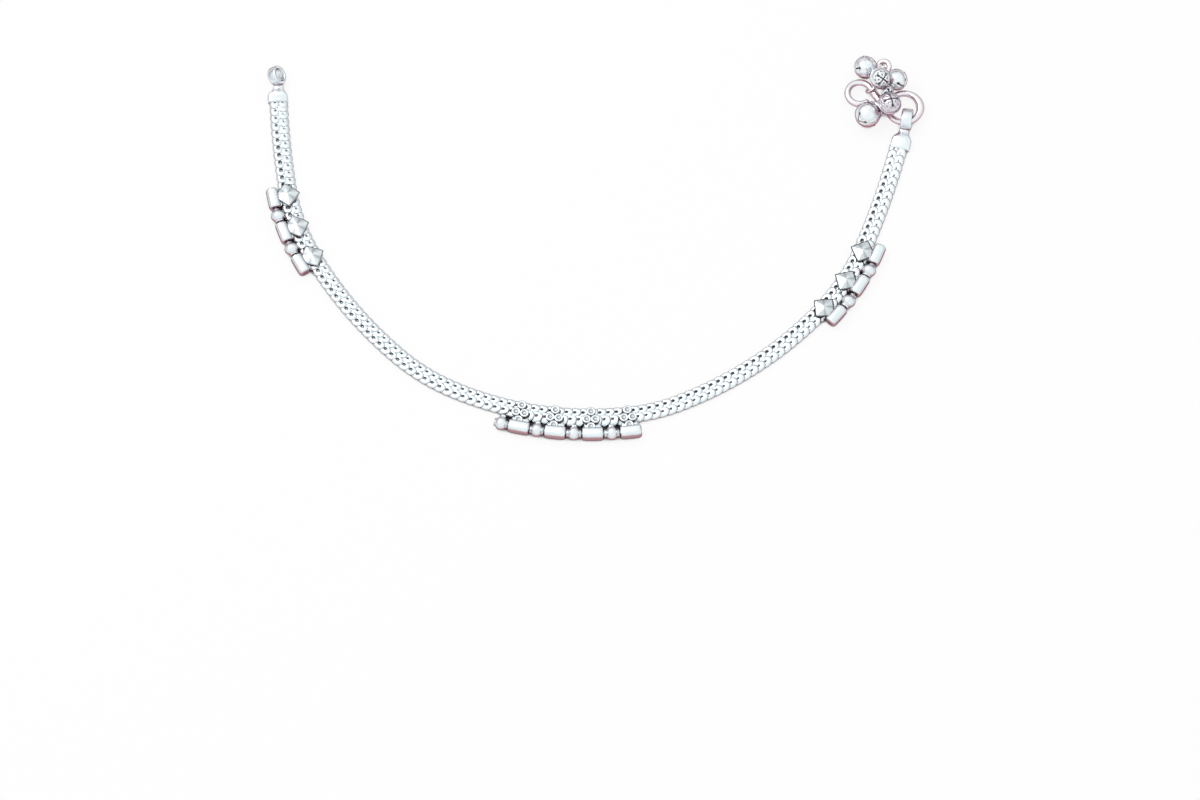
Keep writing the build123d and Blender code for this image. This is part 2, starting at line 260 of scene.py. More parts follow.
# ---- node helpers ------------------------------------------------------------------------
def add_node(
    tree: Tree, kind: str, sockets: dict[str | int, object] | None = None, **choices: object
) -> bpy.types.Node:
    """Add a node, make its choices and fill its inputs.

    Args:
        tree: the node tree that gets it.
        kind: the node's type.
        sockets: for inputs by name or number, a value or another node's output.
        choices: the node's own settings by name.

    Returns:
        The node.
    """
    node = tree.nodes.new(kind)
    for setting, choice in choices.items():
        setattr(node, setting, choice)
    for label, value in (sockets or {}).items():
        if isinstance(value, Socket):
            tree.links.new(value, node.inputs[label])
        else:
            node.inputs[label].default_value = value
    return node


def join(
    tree: Tree, operation: str, first: Socket | float, second: Socket | float, clamp: bool = False
) -> Socket:
    """Join two values with one Math node and return its output."""
    node = add_node(tree, "ShaderNodeMath", {0: first, 1: second}, operation=operation, use_clamp=clamp)
    return node.outputs["Value"]


def smooth_range(
    tree: Tree, value: Socket, low: Socket | float, high: Socket | float, top: float = 1.0
) -> Socket:
    """Rise smoothly from 0 at low to top at high and return the result."""
    sockets = {"Value": value, "From Min": low, "From Max": high, "To Max": top}
    return add_node(tree, "ShaderNodeMapRange", sockets, interpolation_type="SMOOTHSTEP").outputs["Result"]


def mix_colours(tree: Tree, share: Socket, low: Socket, high: Socket | tuple[float, ...]) -> Socket:
    """Mix two colours by a share and return the result."""
    sockets = {"Factor": share, "A": low, "B": high}
    return add_node(tree, "ShaderNodeMix", sockets, data_type="RGBA").outputs["Result"]


# ---- finishes ----------------------------------------------------------------------------
@dataclass(frozen=True)
class Patina:
    """How metal, a painted rosy reflection, tarnish and painted shade share a surface; each grain is in cells
    to the metre.
    """

    uneven_grain: float = 900.0
    uneven: float = 0.16
    # the rosy reflection is painted: it fades out on faces that look behind; painted shade from ambient
    # occlusion begins and is full at the openness values below
    reflection_ends_behind: float = 0.65
    reflection_full_ahead: float = -0.05
    shelter_begins: float = 0.5
    shelter_full: float = 0.12
    cloud_grain: float = 420.0
    cloud: float = 0.16
    cloud_least: float = 0.92
    wear_grain: float = 2600.0
    wear: float = 0.14
    roughness_where_dark: float = 0.3
    scratch_grain: float = 5200.0

    def group(self) -> Tree:
        """Build, once, the node group that mixes metal, a painted rosy reflection, tarnish and painted shade
        over a surface.

        A painted rosy reflection comes in where a face looks down, or sideways and outward. The dark tone
        comes in where the recess attribute is high, as tarnish on some pieces and painted shade on
        others, and as painted shade from ambient occlusion where the surface is sheltered; fine noise
        varies both.

        Returns:
            The group, with outputs for colour, roughness and the height of fine scratches.
        """
        known = bpy.data.node_groups.get("silver_patina")
        if known:
            return known
        tree = bpy.data.node_groups.new("silver_patina", "ShaderNodeTree")
        amounts = ("Base roughness", "Reflection top", "Reflection foot", "Reflection amount", "Oxide and shade amount", "Occlusion shade amount")
        for label in ("Metal", "Oxide and shade", "Rose reflection"):
            tree.interface.new_socket(label, in_out="INPUT", socket_type="NodeSocketColor")
        for label in (*amounts, "Recess", "Open"):
            tree.interface.new_socket(label, in_out="INPUT", socket_type="NodeSocketFloat")
        tree.interface.new_socket("Color", in_out="OUTPUT", socket_type="NodeSocketColor")
        for label in ("Roughness", "Height"):
            tree.interface.new_socket(label, in_out="OUTPUT", socket_type="NodeSocketFloat")
        given = add_node(tree, "NodeGroupInput").outputs
        place = add_node(tree, "ShaderNodeTexCoord").outputs["Object"]
        normal = add_node(tree, "ShaderNodeNewGeometry").outputs["Normal"]
        looks = add_node(tree, "ShaderNodeSeparateXYZ", {"Vector": normal}).outputs

        def noise(grain: float, detail: float) -> Socket:
            """Return a noise on the object's own coordinates."""
            sockets = {"Vector": place, "Scale": grain, "Detail": detail}
            return add_node(tree, "ShaderNodeTexNoise", sockets).outputs["Fac"]

        def varied(grain: float, amount: float) -> Socket:
            """Return a noise that swings about 0 by an amount."""
            return join(tree, "MULTIPLY", join(tree, "SUBTRACT", noise(grain, 2.0), 0.5), amount)

        # painted reflection: a rosy tone on faces that look down, or sideways and to the front
        height = join(tree, "ADD", looks["Z"], varied(self.uneven_grain, self.uneven))
        low_side = smooth_range(tree, height, given["Reflection top"], given["Reflection foot"])
        front = smooth_range(tree, looks["Y"], self.reflection_ends_behind, self.reflection_full_ahead)
        outer = join(tree, "MULTIPLY", low_side, front)
        rose_reflection = join(tree, "MULTIPLY", outer, given["Reflection amount"], clamp=True)
        # painted shade: ambient occlusion darkens sheltered faces, and the recess attribute adds tarnish on
        # some pieces and painted shade on others
        sheltered = smooth_range(tree, given["Open"], self.shelter_begins, self.shelter_full)
        hollow = join(tree, "MULTIPLY", sheltered, given["Occlusion shade amount"])
        hidden = join(tree, "MAXIMUM", given["Recess"], hollow)
        dark = join(tree, "MULTIPLY", hidden, given["Oxide and shade amount"], clamp=True)
        clouds = join(tree, "MULTIPLY", noise(self.cloud_grain, 3.0), self.cloud)
        brightness = join(tree, "ADD", clouds, self.cloud_least)
        metal = add_node(tree, "ShaderNodeHueSaturation", {"Color": given["Metal"], "Value": brightness})
        toned = mix_colours(tree, rose_reflection, metal.outputs["Color"], given["Rose reflection"])
        worn = join(tree, "ADD", given["Base roughness"], varied(self.wear_grain, self.wear))
        dulled = join(tree, "MULTIPLY", dark, self.roughness_where_dark)
        results = {
            "Color": mix_colours(tree, dark, toned, given["Oxide and shade"]),
            "Roughness": join(tree, "ADD", worn, dulled, clamp=True),
            "Height": noise(self.scratch_grain, 3.0),
        }
        add_node(tree, "NodeGroupOutput", results)
        return tree


class Polish(Enum):
    """How bright each sort of silver is kept; one of them is a darker copy, painted as shade."""

    WOVEN = "woven"
    BRIGHT = "bright"
    CAP = "cap"
    BELL = "bell"
    # a darker copy of the bell finish, painted as shade for a bell that lies in shadow
    SHADED = "shaded"
    WIRE = "wire"


@dataclass(frozen=True)
class SilverFinish:
    """A silver surface: bright metal, a dark tone for tarnish in recesses and for painted shade, a painted
    rosy reflection low on its sides.
    """

    name: str
    metal: Triple
    # the dark tone serves both tarnish in hollows and painted shade
    oxide_and_shade: Triple = (0.035, 0.03, 0.035)
    # the tone of a painted reflection low on the sides
    rose_reflection: Triple = (0.42, 0.2, 0.225)
    roughness: float = 0.24
    # upward share of a face's normal where the painted rosy reflection begins, and where it is full
    reflection_top: float = 0.56
    reflection_foot: float = 0.42
    reflection_amount: float = 0.85
    oxide_and_shade_amount: float = 1.0
    # how far off other metal still shelters a face, which is then darkened as painted shade, in millimetres
    shelter: float = 0.5
    occlusion_shade_amount: float = 1.0
    scratch: float = 0.05
    scratch_depth: float = 0.05
    # the painted reflection on faces that are seen edge-on, and how far they turn before it begins and is
    # full
    rim_reflection: Triple = (0.30, 0.17, 0.20)
    rim_amount: float = 0.65
    rim_start: float = 0.5
    rim_full: float = 0.82
    edge_tint: Triple = (0.5, 0.36, 0.4)

    def material(self) -> bpy.types.Material:
        """Build the node material for this finish.

        Returns:
            The material, with its Principled shader fed by the shared silver group.
        """
        made = bpy.data.materials.new(self.name)
        made.use_nodes = True
        tree = made.node_tree
        tree.nodes.clear()
        recess = add_node(tree, "ShaderNodeAttribute", attribute_name="recess")
        # ambient occlusion, used as painted shade in sheltered places
        shelter = add_node(tree, "ShaderNodeAmbientOcclusion", {"Distance": self.shelter * MM}, samples=8)
        given = {
            "Metal": (*self.metal, 1.0),
            "Oxide and shade": (*self.oxide_and_shade, 1.0),
            "Rose reflection": (*self.rose_reflection, 1.0),
            "Base roughness": self.roughness,
            "Reflection top": self.reflection_top,
            "Reflection foot": self.reflection_foot,
            "Reflection amount": self.reflection_amount,
            "Oxide and shade amount": self.oxide_and_shade_amount,
            "Occlusion shade amount": self.occlusion_shade_amount,
            "Recess": recess.outputs["Fac"],
            "Open": shelter.outputs["AO"],
        }
        silver = add_node(tree, "ShaderNodeGroup", given, node_tree=Patina().group()).outputs
        depth = self.scratch_depth * MM
        scratches = {"Strength": self.scratch, "Distance": depth, "Height": silver["Height"]}
        bump = add_node(tree, "ShaderNodeBump", scratches)
        # painted reflection: a dark rosy tone on faces seen edge-on
        facing = add_node(tree, "ShaderNodeLayerWeight", {"Blend": 0.5})
        edge = smooth_range(tree, facing.outputs["Facing"], self.rim_start, self.rim_full, self.rim_amount)
        coat = {
            "Base Color": mix_colours(tree, edge, silver["Color"], (*self.rim_reflection, 1.0)),
            "Metallic": 1.0,
            "Roughness": silver["Roughness"],
            "IOR": 1.5,
            "Normal": bump.outputs["Normal"],
            "Specular Tint": (*self.edge_tint, 1.0),
        }
        shader = add_node(tree, "ShaderNodeBsdfPrincipled", coat)
        add_node(tree, "ShaderNodeOutputMaterial", {"Surface": shader.outputs["BSDF"]})
        return made


FINISHES: dict[Polish, SilverFinish] = {
    Polish.WOVEN: SilverFinish(
        "silver_woven",
        (0.84, 0.92, 0.95),
        oxide_and_shade=(0.075, 0.085, 0.09),
        roughness=0.34,
        reflection_amount=0.5,
        reflection_top=0.42,
        reflection_foot=0.0,
        occlusion_shade_amount=0.2,
        rim_amount=0.4,
        rim_start=0.7,
        rim_full=0.96,
        edge_tint=(0.8, 0.74, 0.77),
    ),
    Polish.BRIGHT: SilverFinish(
        "silver_bright",
        (0.81, 0.89, 0.92),
        reflection_top=0.6,
        reflection_foot=0.2,
        occlusion_shade_amount=0.35,
        rim_amount=0.5,
    ),
    Polish.CAP: SilverFinish(
        "silver_cap",
        (0.81, 0.89, 0.92),
        reflection_amount=0.7,
        reflection_top=0.34,
        reflection_foot=-0.1,
    ),
    Polish.BELL: SilverFinish(
        "silver_bell",
        (0.87, 0.93, 0.96),
        oxide_and_shade=(0.09, 0.085, 0.1),
        rose_reflection=(0.5, 0.22, 0.25),
        reflection_top=0.46,
        reflection_foot=0.0,
        occlusion_shade_amount=0.7,
    ),
    # a darker copy of the bell finish, painted as shade for a bell that lies in shadow
    Polish.SHADED: SilverFinish(
        "silver_shaded",
        (0.74, 0.72, 0.78),
        oxide_and_shade=(0.09, 0.075, 0.1),
        rose_reflection=(0.5, 0.28, 0.33),
        reflection_top=0.5,
        reflection_foot=0.0,
        occlusion_shade_amount=0.7,
    ),
    # the pinkish tint of this metal and its rosy sides, which reach higher, are a painted reflection
    Polish.WIRE: SilverFinish(
        "silver_wire",
        (0.86, 0.85, 0.89),
        rose_reflection=(0.56, 0.30, 0.34),
        roughness=0.2,
        reflection_top=0.72,
        reflection_foot=0.25,
        occlusion_shade_amount=0.4,
    ),
}


@dataclass
class Wardrobe:
    """Keeps one material for each polish, and the names of the solids that are replaced."""

    made: dict[Polish, bpy.types.Material] = field(default_factory=dict)
    replaced: set[str] = field(default_factory=set)

    def get(self, polish: Polish) -> bpy.types.Material:
        """Find a polish's material, building it the first time.

        Args:
            polish: the polish.

        Returns:
            Its material.
        """
        if polish not in self.made:
            self.made[polish] = FINISHES[polish].material()
        return self.made[polish]

    def dress(self, surface: Surface, name: str, polish: Polish, slot: str, *nodes: str) -> bpy.types.Object:
        """Make a piece of a surface and give it its finish and its place in the frame.

        Args:
            surface: all that was added to the piece.
            name: the piece's plain name.
            polish: its finish.
            slot: the record's material slot; not used.
            nodes: the solids that it stands for.

        Returns:
            The piece.
        """
        piece = surface.to_object(name)
        piece.data.materials.append(self.get(polish))
        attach(piece, "root")
        if nodes:
            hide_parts(*nodes)
            self.replaced.update(nodes)
        LOG.info("%s: %d faces", piece.name, len(piece.data.polygons))
        return piece

    def dress_solids(self, nodes: dict[str, bpy.types.Object]) -> None:
        """Finish every solid that no other piece stands for, which are the threading wires.

        Args:
            nodes: the frame's solids by name.
        """
        for name, node in nodes.items():
            if name not in self.replaced:
                for place in node.material_slots:
                    place.material = self.get(Polish.WIRE)
                LOG.info("%s keeps its solid form", name)


WARDROBE = Wardrobe()


# ---- the chain's line --------------------------------------------------------------------
@dataclass(frozen=True)
class ChainLine:
    """The chain's middle line: arcs that join smoothly and always turn left."""

    start: tuple[float, float] = (-77.799, 41.42)
    heading: float = -87.5
    lengths: tuple[float, ...] = (24.0, 19.0, 36.0, 16.0, 46.0, 11.0, 43.0, 21.0, 29.0)
    turns: tuple[float, ...] = (5.8, 19.4, 19.0, 17.8, 33.6, 14.9, 25.6, 20.1, 7.5)

    @property
    def total(self) -> float:
        """Length of the whole line, in millimetres."""
        return float(sum(self.lengths))

    def at(self, stations: Array) -> tuple[Array, Array]:
        """Find places on the line.

        On an arc of radius R the point moves by R times the change of (sin, minus cos) of
        the heading, and the heading grows by the distance over R.

        Args:
            stations: distances from the start, in millimetres; ends are continued straight.

        Returns:
            The points (n by 2) and the headings in radians (n).
        """
        lengths = np.array(self.lengths)
        bends = np.radians(self.turns)
        begins = np.concatenate([[0.0], np.cumsum(lengths)[:-1]])
        radii = lengths / bends
        headings = np.radians(self.heading) + np.concatenate([[0.0], np.cumsum(bends)])
        steps = radii[:, None] * np.stack([np.diff(np.sin(headings)), -np.diff(np.cos(headings))], axis=-1)
        joints = np.array(self.start) + np.concatenate([np.zeros((1, 2)), np.cumsum(steps, axis=0)[:-1]])
        inside = np.clip(stations, 0.0, self.total)
        row = np.clip(np.searchsorted(begins, inside, side="right") - 1, 0, len(lengths) - 1)
        first = headings[row]
        heading = first + (inside - begins[row]) / radii[row]
        swing = np.stack([np.sin(heading) - np.sin(first), np.cos(first) - np.cos(heading)], axis=-1)
        points = joints[row] + radii[row][:, None] * swing
        beyond = (stations - inside)[:, None] * np.stack([np.cos(heading), np.sin(heading)], axis=-1)
        return points + beyond, heading

    def beside(self, stations: Array, outward: float = 0.0, height: float = 0.0) -> Axes:
        """Find places beside the line.

        Args:
            stations: distances along the line, in millimetres.
            outward: distance away from the inside of the U.
            height: height above the floor.

        Returns:
            The points, the unit vectors along the line and the ones outward, each n by 3.
        """
        points, heading = self.at(stations)
        along = np.stack([np.cos(heading), np.sin(heading), 0.0 * heading], axis=-1)
        out = np.stack([np.sin(heading), -np.cos(heading), 0.0 * heading], axis=-1)
        return np.insert(points, 2, height, axis=1) + out * outward, along, out

    def spot(self, station: float, outward: float = 0.0, height: float = 0.0) -> Axes:
        """Find one place beside the line: its point, the way along and the way outward."""
        points, along, out = self.beside(np.array([station]), outward, height)
        return points[0], along[0], out[0]


LINE = ChainLine()


@dataclass(frozen=True)
class Band:
    """A flat band that follows the chain's line."""

    outward: float
    height: float
    half_width: float
    half_height: float
    power: float

    def grid(self, stations: Array) -> Array:
        """Carry the band's section along the chain's line at these stations."""
        line, _, out = LINE.beside(stations, self.outward, self.height)
        return tube_grid(line, out, self.half_width, self.half_height, 8, self.power)


# ---- woven chain -------------------------------------------------------------------------
@dataclass
class WovenChain:
    """Two rows of broad links, each leaning over the next one, on a lower layer darkened as painted shade."""

    pitch: float = 2.06
    row_middle: float = 1.12
    drift: float = 0.25
    margin: float = 0.3
    outer_length: float = 1.72
    outer_width: float = 1.22
    hole_length: float = 0.36
    hole_width: float = 0.36
    hole_inset: float = 0.2
    hole_least: float = 0.15
    # holes, with the painted shade in them, are this strong on average, and stronger or weaker by the swing
    # from west to east
    hole_mean: float = 0.6
    hole_swing: float = 0.4
    hole_at_ends: float = 0.25
    # powers of the squarish half of a link's outline, along and across the chain
    along_power: float = 0.8
    across_power: float = 0.7
    half_height: float = 0.3
    lean: float = 0.16
    middle_height: float = 0.98
    dome: float = 0.34
    segments: int = 16
    # distances from each end up to which the holes are faint, and from which they are full
    fade: tuple[float, float] = (2.0, 14.0)
    # each row: share of the way from hole to outer edge, rise, painted shade in the hole and under the edge
    section: tuple[Triple, ...] = (
        (0.02, -0.9, 1.0),
        (0.04, 0.35, 0.8),
        (0.22, 1.0, 0.0),
        (0.72, 1.0, 0.0),
        (1.0, 0.1, 0.0),
        (0.8, -0.9, 0.15),
    )
    # each row: where outer links start to widen, the widest stretch, its end, and the extra width
    broader: tuple[tuple[float, float, float, float, float], ...] = (
        (24.0, 26.0, 46.0, 48.0, 0.3),
        (109.0, 112.5, 138.5, 142.0, 0.75),
        (194.0, 196.0, 216.0, 218.0, 0.3),
    )
    layer_margin: float = 0.5
    # the layer under the links, darkened as painted shade, and the bright ridge between their rows, with
    # their share of the dark tone
    layers: tuple[tuple[Band, float], ...] = (
        (Band(0.0, 0.42, 1.95, 0.22, 0.7), 0.5),
        (Band(0.0, 0.92, 0.42, 0.24, 0.7), 0.0),
    )

    def link_shape(self, strength: Array, spread: Array) -> tuple[Array, Array]:
        """Shape the links about their own middles.

        Round a link an outer superellipse and an inner circle share one angle: the outer one
        is squarish towards the chain's middle and round towards its edge, and the hole
        shrinks with the link's strength. A flat-topped section goes from one to the other,
        leans forward, and falls to the edge.

        Args:
            strength: for each link, how open its hole is and how dark its painted shade is, from 0 to 1.
            spread: for each link, how much wider it reaches towards the edge, in millimetres.

        Returns:
            Links by segments by sides by 3 points, and the mask of painted shade on the same grid.
        """
        turn = np.linspace(0.0, 2.0 * np.pi, self.segments, endpoint=False)[None, :, None]
        share, lift, oxide_and_shade = np.array(self.section).T[:, None, None, :]
        strong = strength[:, None, None]
        hole_share = self.hole_least + (1.0 - self.hole_least) * strong
        edge_side = np.sin(turn) > 0.0
        reach = self.outer_width + edge_side * spread[:, None, None]
        along_out = signed_power(np.cos(turn), np.where(edge_side, 1.0, self.along_power)) * self.outer_length
        across_out = signed_power(np.sin(turn), np.where(edge_side, 1.0, self.across_power)) * reach
        along_in = np.cos(turn) * self.hole_length * hole_share
        across_in = np.sin(turn) * self.hole_width * hole_share - self.hole_inset
        along = along_in + (along_out - along_in) * share
        across = across_in + (across_out - across_in) * share
        fall = self.dome * (np.maximum(across, 0.0) / self.outer_width) ** 2
        height = self.middle_height + self.lean * along + self.half_height * lift - fall
        shape = np.stack([along, across, np.maximum(height, 0.0)], axis=-1)
        return shape, oxide_and_shade * strong * np.ones_like(turn)

    def row(self, side: float) -> tuple[Array, Array]:
        """Set links along one row.

        Both rows drift a little against each other. Holes, darkened as painted shade, are darkest on
        the row that lies to the west, and faint near both ends.

        Args:
            side: 1 for the row inside the U, -1 for the one outside.

        Returns:
            A grid for each link, and the mask of painted shade on the same grids.
        """
        count = int(round(LINE.total / self.pitch))
        step = LINE.total / count
        stations = (np.arange(-1, count + 1) + 0.5) * step
        share = stations / LINE.total
        stations = stations + self.drift * np.cos(2.0 * np.pi * share) * step * side
        stations = np.clip(stations, self.margin, LINE.total - self.margin)
        base, along, out = LINE.beside(stations, -self.row_middle * side)
        outward = out * -side
        ends = smooth_step(*self.fade, stations) * smooth_step(*self.fade, LINE.total - stations)
        # painted shade in the holes: darkest on the row that lies to the west
        west = self.hole_mean - self.hole_swing * np.cos(np.pi * share) * side
        spread = np.zeros(len(stations))
        if side < 0.0:
            for start, widest, wane, end, extra in self.broader:
                spread += extra * smooth_step(start, widest, stations) * smooth_step(end, wane, stations)
        strength = west * (self.hole_at_ends + (1.0 - self.hole_at_ends) * ends)
        shape, oxide_and_shade = self.link_shape(strength, spread)
        ways = np.stack([along, outward, np.broadcast_to(UP, along.shape)], axis=1)
        grid = base[:, None, None] + np.einsum("nrck,nkd->nrcd", shape, ways)
        LOG.info("row %+d: %d links", side, len(stations))
        return (grid[:, :, ::-1], oxide_and_shade[:, :, ::-1]) if side < 0.0 else (grid, oxide_and_shade)

    def build(self) -> bpy.types.Object:
        """Join both rows of links and the layers under them.

        Returns:
            The chain as one piece, replacing the solid band.
        """
        surface = Surface()
        for side in (-1.0, 1.0):
            surface.add_grid(*self.row(side), close_rows=True)
        for band, oxide_and_shade in self.layers:
            grid = band.grid(np.linspace(self.layer_margin, LINE.total - self.layer_margin, 240))
            surface.add_grid(grid, np.full(grid.shape[:2], oxide_and_shade), cap_ends=True)
        return WARDROBE.dress(surface, "woven_links", Polish.WOVEN, "silver_chain", "woven_chain")


# ---- end caps ----------------------------------------------------------------------------
@dataclass
class EndCap:
    """A rounded cap over the chain's end, its neck, and a broad band eye."""

    name: str
    node: str
    station: float
    sign: float
    outward: float
    body_length: float
    eye_distance: float
    eye_tilt: float = 0.0
    eye_turn: float = 0.0
    half_width: float = 2.48
    height: float = 2.1
    shell_power: float = 0.55
    eye_outer: float = 2.4
    eye_inner: float = 1.6
    eye_half_band: float = 1.175
    # powers of the eye's section, across its wall and across its band
    eye_powers: tuple[float, float] = (0.6, 0.45)
    eye_stretch: float = 0.0
    neck_inset: float = 1.85
    neck_shift: float = 0.0

    def frame(self) -> Axes:
        """Return the cap's root, the way it points and the way inward, as 3-vectors."""
        root, along, out = LINE.spot(self.station, self.outward)
        return root, along * self.sign, -out

    def shell(self) -> Array:
        """Carry a rounded section from the mouth over the shoulders to the neck.

        Half-widths and edges come from a short table with a row for each place, and the
        section is a superellipse with rounded corners.

        Returns:
            The grid of the cap and neck.
        """
        root, out, inward = self.frame()
        body = self.body_length
        neck_end = self.eye_distance - self.neck_inset
        # each row: place, share of the half width, low and high edge as shares of the height
        table = np.array(
            [
                (-0.35, 0.90, 0.10, 0.66),
                (-0.30, 0.96, 0.00, 0.74),
                (0.10, 0.99, 0.00, 0.80),
                (0.40 * body, 1.00, 0.00, 0.92),
                (body - 1.3, 0.98, 0.00, 1.00),
                (body - 0.7, 0.86, 0.02, 0.98),
                (body - 0.2, 0.68, 0.06, 0.92),
                (body + 0.3, 0.54, 0.10, 0.88),
                (0.5 * (body + neck_end) + 0.2, 0.48, 0.18, 0.92),
                (neck_end, 0.46, 0.30, 1.02),
            ]
        )
        place, width, low, high = table.T
        shift = self.neck_shift * smooth_step(0.4 * body, neck_end, place)
        level = (low + high) * self.height / 2.0
        line = root + np.stack([place, shift, level], axis=-1) @ np.stack([out, inward, UP])
        half_height = (high - low) * self.height / 2.0
        return tube_grid(line, np.cross(out, UP), width * self.half_width, half_height, 28, self.shell_power)

    def eye(self) -> Array:
        """Turn a rounded band section round the eye's axis.

        Returns:
            The grid of the ring: radius and offset along the axis follow a superellipse.
        """
        root, out, inward = self.frame()
        tilt, turn = np.radians(self.eye_tilt), np.radians(self.eye_turn)
        level = inward * np.cos(turn) + np.cross(UP, inward) * np.sin(turn)
        axis = level * np.cos(tilt) + UP * np.sin(tilt)
        lift = self.eye_outer * np.cos(tilt) + self.eye_half_band * np.sin(tilt)
        centre = root + out * (self.eye_distance + self.eye_stretch) + UP * lift
        first = unit(np.cross(axis, UP))
        second = np.cross(axis, first)
        angle = np.linspace(0.0, 2.0 * np.pi, 48, endpoint=False)[:, None, None]
        section = np.linspace(0.0, 2.0 * np.pi, 16, endpoint=False)[None, :, None]
        middle, half = (self.eye_outer + self.eye_inner) / 2.0, (self.eye_outer - self.eye_inner) / 2.0
        radius = middle + half * signed_power(np.cos(section), self.eye_powers[0])
        shift = self.eye_half_band * signed_power(np.sin(section), self.eye_powers[1])
        ring = centre + radius * (first * np.cos(angle) + second * np.sin(angle)) + axis * shift
        return ring + out * np.cos(angle) * np.sign(np.dot(first, out)) * self.eye_stretch

    def build(self) -> bpy.types.Object:
        """Join shell and eye.

        Returns:
            The cap as one piece, replacing its solid.
        """
        surface = Surface()
        surface.add_grid(self.shell(), cap_ends=True)
        surface.add_grid(self.eye(), close_rows=True)
        return WARDROBE.dress(surface, self.name, Polish.CAP, "silver_fittings", self.node)


# ---- hook --------------------------------------------------------------------------------
@dataclass
class SHook:
    """One wire: a large loop, a straight shank and a small loop, with rounded tips."""

    large_middle: tuple[float, float] = (76.101, 39.12)
    large_radius: float = 4.0
    large_start: float = 130.0
    small_middle: tuple[float, float] = (65.201, 43.17)
    small_radius: float = 3.0
    small_turn: float = 286.5
    height: float = 1.76
    wire: float = 0.765
    swell: float = 0.26
    swell_angle: float = 10.0
    swell_spread: float = 38.0
    loop_end: float = 30.0
    sleeve: float = 0.22
    # distances along the wire where the sleeve begins, is full, starts to thin and ends
    sleeve_places: tuple[float, float, float, float] = (19.5, 22.0, 26.5, 29.5)

    def line(self) -> Array:
        """Follow both circles and the line that touches them on opposite sides.

        Returns:
            Points along the wire, in millimetres, at even spacing on each stretch.
        """
        large, small = np.array(self.large_middle), np.array(self.small_middle)
        gap = small - large
        reach = self.large_radius + self.small_radius
        heading = np.arctan2(gap[1], gap[0]) - np.arcsin(reach / np.hypot(*gap))
        first = np.radians(np.linspace(self.large_start, np.degrees(heading) + 90.0 - 360.0, 72))
        begin = heading - np.pi / 2.0
        second = np.linspace(begin, begin + np.radians(self.small_turn), 60)
        loop = large + self.large_radius * np.stack([np.cos(first), np.sin(first)], axis=-1)
        end = small + self.small_radius * np.stack([np.cos(second), np.sin(second)], axis=-1)
        shank = loop[-1] + (end[0] - loop[-1]) * np.linspace(0.0, 1.0, 18)[1:-1, None]
        return np.insert(np.concatenate([loop, shank, end]), 2, self.height, axis=1)

    def build(self) -> bpy.types.Object:
        """Carry a round section along the wire, swelling on the large loop and on the shank.

        The swelling of the loop is a bell curve of the angle about the loop's middle.

        Returns:
            The hook as one piece, replacing its solid.
        """
        line = self.line()
        step = np.linalg.norm(np.diff(line, axis=0), axis=1)
        run = np.concatenate([[0.0], np.cumsum(step)])
        tip = np.clip(np.minimum(run, run[-1] - run) / self.wire, 0.0, 1.0)
        tip_share = np.sqrt(np.clip(1.0 - (1.0 - tip) ** 2, 0.02, 1.0))
        angle = np.degrees(np.arctan2(line[:, 1] - self.large_middle[1], line[:, 0] - self.large_middle[0]))
        begin, full, wane, end = self.sleeve_places
        off_middle = (angle - self.swell_angle) / self.swell_spread
        swell = self.swell * np.exp(-(off_middle**2)) * (run < self.loop_end)
        sleeve = self.sleeve * smooth_step(begin, full, run) * smooth_step(end, wane, run)
        radius = (self.wire + swell + sleeve) * tip_share
        side = np.cross(unit(np.gradient(line, axis=0)), UP)
        surface = Surface()
        surface.add_grid(tube_grid(line, side, radius, radius, 16, 1.0), cap_ends=True)
        return WARDROBE.dress(surface, "hook_wire", Polish.WIRE, "silver_wire", "s_hook")


# ---- tubes with stars and rosettes -------------------------------------------------------
class Ornament(Enum):
    """What is soldered to a tube."""

    STAR = "star"
    ROSETTE = "rosette"


@dataclass(frozen=True)
class Seat:
    """Where a tube and its solder leaf sit, outward from the chain's line, and their form."""

    tube_outward: float
    # 2 for a round section, more for a squarer one
    tube_power: float
    leaf_outward: float
    leaf_half_width: float


SEATS = {
    Ornament.STAR: Seat(tube_outward=3.95, tube_power=2.6, leaf_outward=2.55, leaf_half_width=0.75),
    Ornament.ROSETTE: Seat(tube_outward=5.1, tube_power=3.4, leaf_outward=3.1, leaf_half_width=1.15),
}


